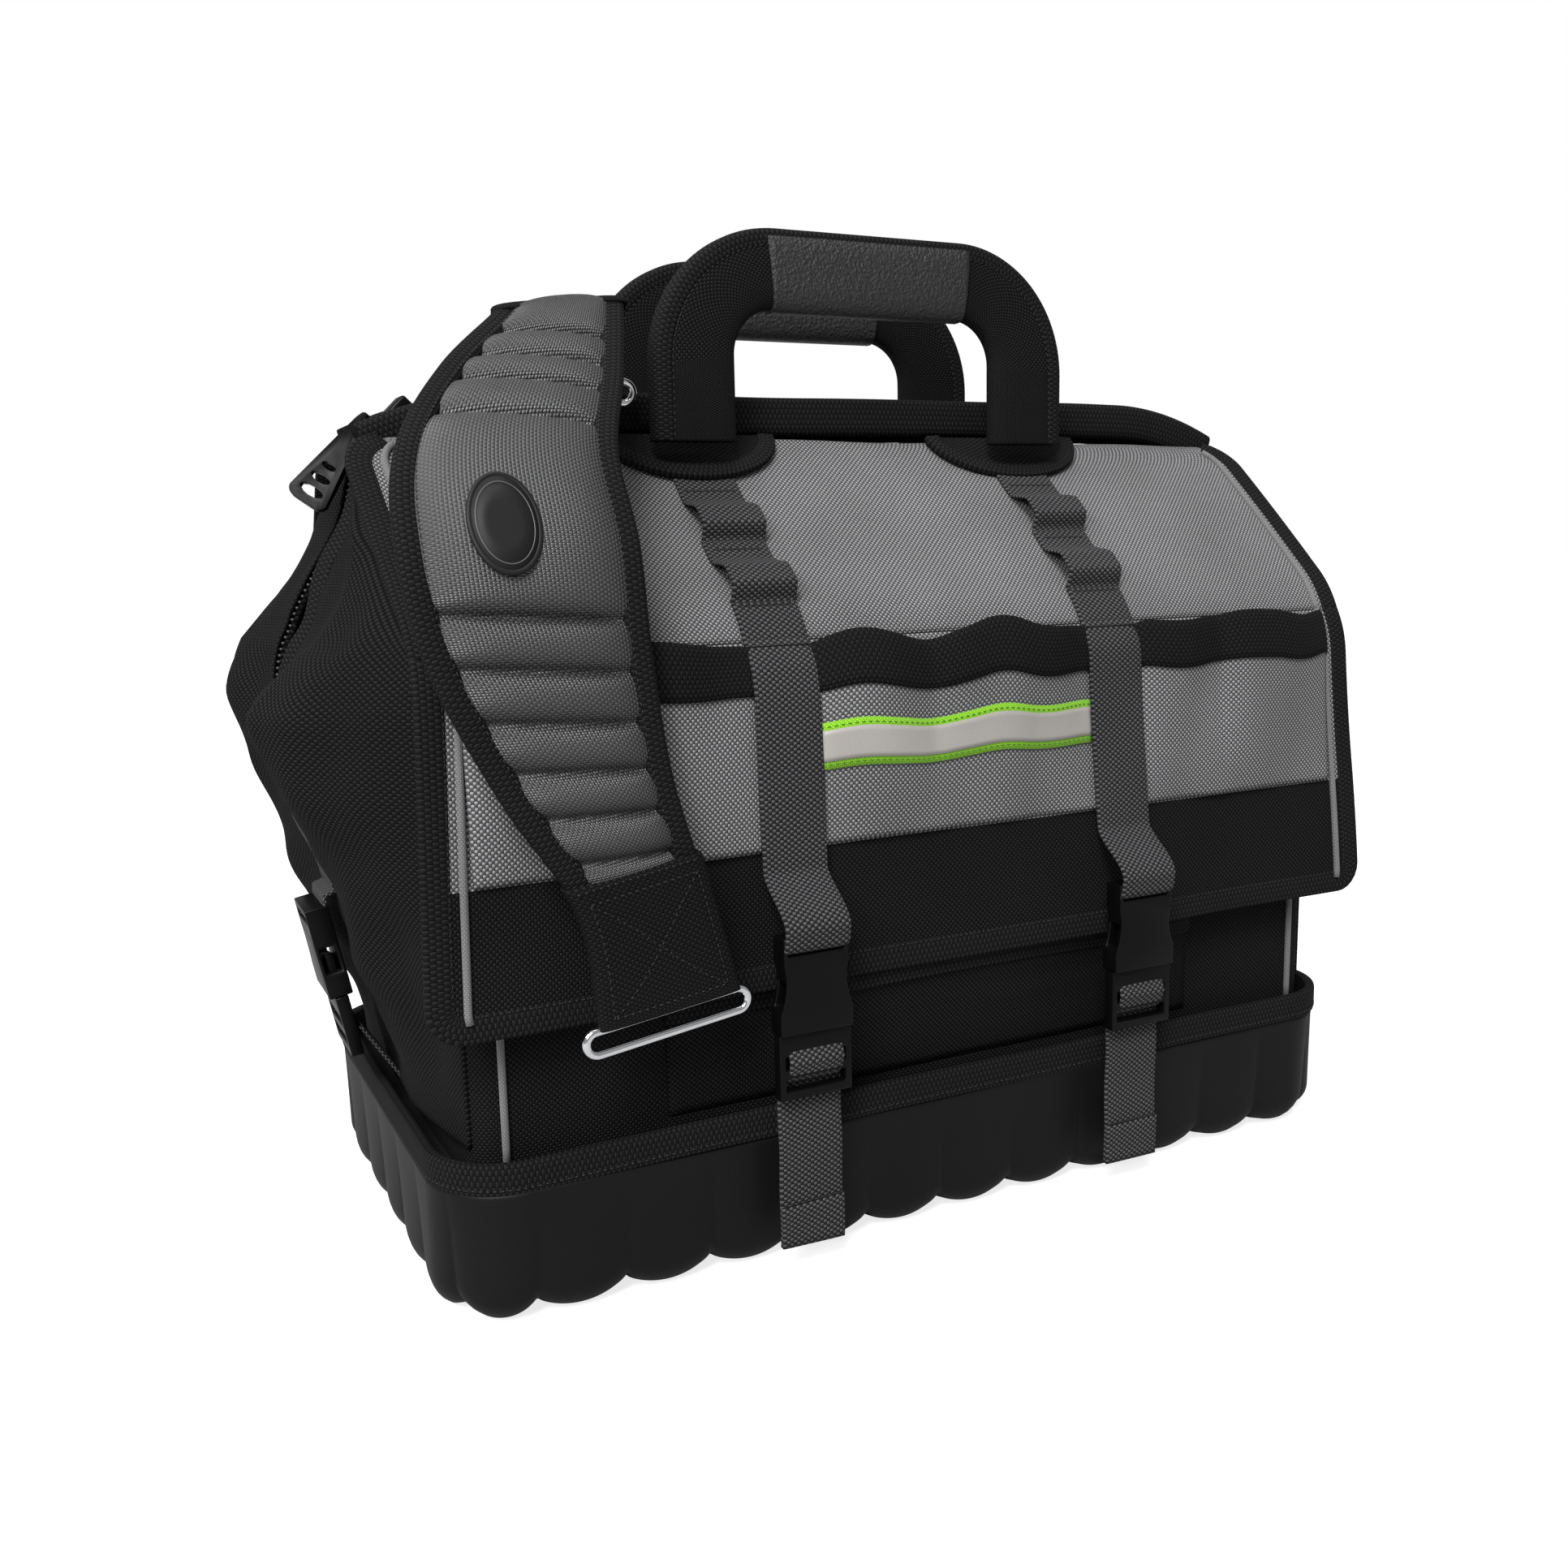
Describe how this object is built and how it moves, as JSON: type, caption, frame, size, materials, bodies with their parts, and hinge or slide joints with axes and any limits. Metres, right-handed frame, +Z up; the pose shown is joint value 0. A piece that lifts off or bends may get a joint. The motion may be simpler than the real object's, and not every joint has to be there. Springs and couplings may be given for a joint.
{
  "type": "garden tool bag",
  "caption": "Soft-sided tool bag with a moulded tray, a zipped top mouth, buckled hanging flaps with pockets, padded handles and a loose shoulder pad.",
  "frame": {"origin": "on the floor under the middle of the tray", "axes": "+X along the bag to its right end, -Y towards the front, +Z up"},
  "size_m": [0.6062, 0.309, 0.4793],
  "materials": {
    "tray_eva": "moulded, satin",
    "black_cloth": "coarse ballistic weave",
    "grey_cloth": "coarse ballistic weave",
    "binding_tape": "ribbed twill tape",
    "webbing": "woven strap",
    "buckle_plastic": "moulded acetal",
    "board": "plain sheet",
    "steel_rod": "drawn rod",
    "chrome": "polished",
    "grip": "textured foam"
  },
  "bodies": {
    "root": {"base_tray": "tray_eva", "tray_rim_tape": "binding_tape", "base_board": "board", "body_shell": "black_cloth", "front_roof": "grey_cloth", "front_sleeve": "binding_tape", "front_mouth_rod": "steel_rod", "front_zip_tape": "grey_cloth", "front_pocket": "black_cloth", "rear_pocket": "black_cloth", "left_gusset": "black_cloth", "right_gusset": "black_cloth", "left_front_wing": "black_cloth", "right_front_wing": "black_cloth", "front_left_upper_strap": "webbing", "front_right_upper_strap": "webbing", "front_left_tail": "webbing", "front_right_tail": "webbing", "rear_left_tail": "webbing", "rear_right_tail": "webbing", "left_end_strap": "webbing", "right_end_strap": "webbing", "left_end_socket": "buckle_plastic", "right_end_socket": "buckle_plastic", "shoulder_pad_upper": "grey_cloth"},
    "rear_mouth": {"rear_roof": "grey_cloth", "rear_sleeve": "binding_tape", "rear_mouth_rod": "steel_rod", "rear_zip_tape": "grey_cloth", "left_rear_wing": "black_cloth", "right_rear_wing": "black_cloth", "rear_left_upper_strap": "webbing", "rear_right_upper_strap": "webbing"},
    "front_flap": {"front_flap": "black_cloth", "front_pocket_row": "grey_cloth", "front_left_lower_strap": "webbing", "front_right_lower_strap": "webbing", "front_left_socket": "buckle_plastic", "front_right_socket": "buckle_plastic", "shoulder_pad_lower": "grey_cloth"},
    "rear_flap": {"rear_flap": "black_cloth", "rear_pocket_row": "grey_cloth", "rear_left_lower_strap": "webbing", "rear_right_lower_strap": "webbing", "rear_left_socket": "buckle_plastic", "rear_right_socket": "buckle_plastic"},
    "front_handle": {"front_handle": "black_cloth", "front_handle_grip": "grip"},
    "rear_handle": {"rear_handle": "black_cloth", "rear_handle_grip": "grip"},
    "zip_slider": {"zip_slider": "buckle_plastic"},
    "zip_pull": {"zip_pull": "buckle_plastic"},
    "pad_lower_ring": {"pad_lower_ring": "chrome"},
    "pad_upper_ring": {"pad_upper_ring": "chrome"},
    "front_left_plug": {"front_left_plug": "buckle_plastic"},
    "front_right_plug": {"front_right_plug": "buckle_plastic"},
    "rear_left_plug": {"rear_left_plug": "buckle_plastic"},
    "rear_right_plug": {"rear_right_plug": "buckle_plastic"},
    "left_end_plug": {"left_end_plug": "buckle_plastic"},
    "right_end_plug": {"right_end_plug": "buckle_plastic"}
  },
  "joints": [
    {"name": "front_flap_lift", "type": "hinge", "parent": "root", "child": "front_flap", "pos_m": [0, -0.153, 0.2875], "axis": [-1, 0, 0], "range_deg": [0, 90]},
    {"name": "rear_flap_lift", "type": "hinge", "parent": "root", "child": "rear_flap", "pos_m": [0, 0.1305, 0.2875], "axis": [1, 0, 0], "range_deg": [0, 90]},
    {"name": "rear_mouth_open", "type": "hinge", "parent": "root", "child": "rear_mouth", "pos_m": [0, 0.1235, 0.2885], "axis": [-1, 0, 0], "range_deg": [0, 50]},
    {"name": "front_handle_fold", "type": "hinge", "parent": "root", "child": "front_handle", "pos_m": [0, -0.045, 0.378], "axis": [1, 0, 0], "range_deg": [0, 80]},
    {"name": "rear_handle_fold", "type": "hinge", "parent": "rear_mouth", "child": "rear_handle", "pos_m": [0, 0.045, 0.378], "axis": [-1, 0, 0], "range_deg": [0, 80]},
    {"name": "zip_slide", "type": "slide", "parent": "root", "child": "zip_slider", "axis": [-0.4472, 0, -0.8944], "range_m": [0, 0.06]},
    {"name": "zip_pull_swing", "type": "hinge", "parent": "zip_slider", "child": "zip_pull", "pos_m": [-0.238, 0, 0.392], "axis": [0, 1, 0], "range_deg": [0, 150]},
    {"name": "pad_lower_ring_swing", "type": "hinge", "parent": "front_flap", "child": "pad_lower_ring", "pos_m": [-0.16, -0.1498, 0.1358], "axis": [0.9912, 0, 0.1322], "range_deg": [-80, 20]},
    {"name": "pad_upper_ring_swing", "type": "hinge", "parent": "root", "child": "pad_upper_ring", "pos_m": [-0.158, -0.0336, 0.404], "axis": [1, 0, 0], "range_deg": [-50, 10]},
    {"name": "front_left_unclip", "type": "slide", "parent": "root", "child": "front_left_plug", "axis": [0, 0, -1], "range_m": [0, 0.022]},
    {"name": "front_right_unclip", "type": "slide", "parent": "root", "child": "front_right_plug", "axis": [0, 0, -1], "range_m": [0, 0.022]},
    {"name": "rear_left_unclip", "type": "slide", "parent": "root", "child": "rear_left_plug", "axis": [0, 0, -1], "range_m": [0, 0.022]},
    {"name": "rear_right_unclip", "type": "slide", "parent": "root", "child": "rear_right_plug", "axis": [0, 0, -1], "range_m": [0, 0.022]},
    {"name": "left_end_unclip", "type": "slide", "parent": "root", "child": "left_end_plug", "axis": [0.1859, 0, -0.9826], "range_m": [0, 0.022]},
    {"name": "right_end_unclip", "type": "slide", "parent": "root", "child": "right_end_plug", "axis": [-0.1859, 0, -0.9826], "range_m": [0, 0.022]}
  ]
}
